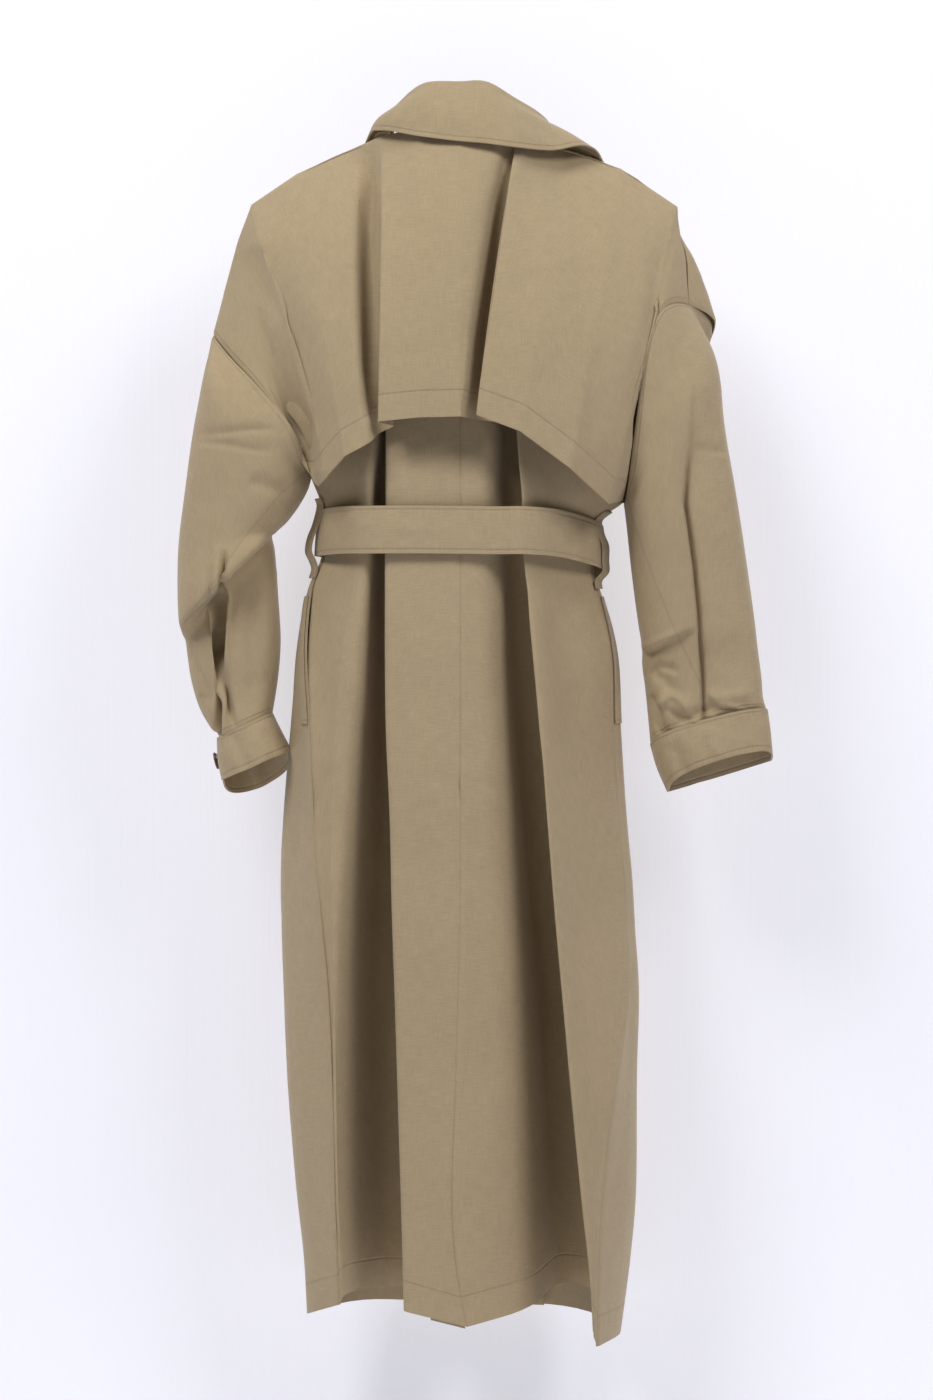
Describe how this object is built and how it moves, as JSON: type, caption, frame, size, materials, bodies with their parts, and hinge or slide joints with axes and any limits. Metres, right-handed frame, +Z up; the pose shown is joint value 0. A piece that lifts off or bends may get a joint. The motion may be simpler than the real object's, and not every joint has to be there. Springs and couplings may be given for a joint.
{
  "type": "trench coat",
  "caption": "Long double-breasted trench coat with a wide collar, a loose back cape, wide sleeves with buttoned cuffs and a belt at the waist, held up at the neck.",
  "frame": {"origin": "the inside of the back neck, where the coat is held up", "axes": "+Z up, the coat's back faces -Y, +X to the wearer's right"},
  "size_m": [0.609, 0.242, 1.2703],
  "materials": {
    "khaki_cotton": "matt plain-woven cotton, khaki",
    "brown_horn": "brown mottled horn-like resin"
  },
  "bodies": {
    "root": {"back_left": "khaki_cotton", "back_right": "khaki_cotton", "front_left": "khaki_cotton", "front_right": "khaki_cotton", "cape_back": "khaki_cotton", "sleeve_left": "khaki_cotton", "sleeve_right": "khaki_cotton", "cuff_left": "khaki_cotton", "cuff_right": "khaki_cotton", "collar_fall": "khaki_cotton", "collar_stand": "khaki_cotton", "lapel_left": "khaki_cotton", "lapel_right": "khaki_cotton", "pocket_welt_left": "khaki_cotton", "pocket_welt_right": "khaki_cotton", "vent_facing": "khaki_cotton", "belt": "khaki_cotton", "belt_loop_left": "khaki_cotton", "belt_loop_right": "khaki_cotton", "belt_buckle": "brown_horn", "front_button_1": "brown_horn", "front_button_2": "brown_horn", "front_button_3": "brown_horn", "front_button_4": "brown_horn", "front_button_5": "brown_horn", "front_button_6": "brown_horn", "front_button_7": "brown_horn", "front_button_8": "brown_horn", "cuff_button_left": "brown_horn", "cuff_button_right": "brown_horn"}
  },
  "joints": []
}
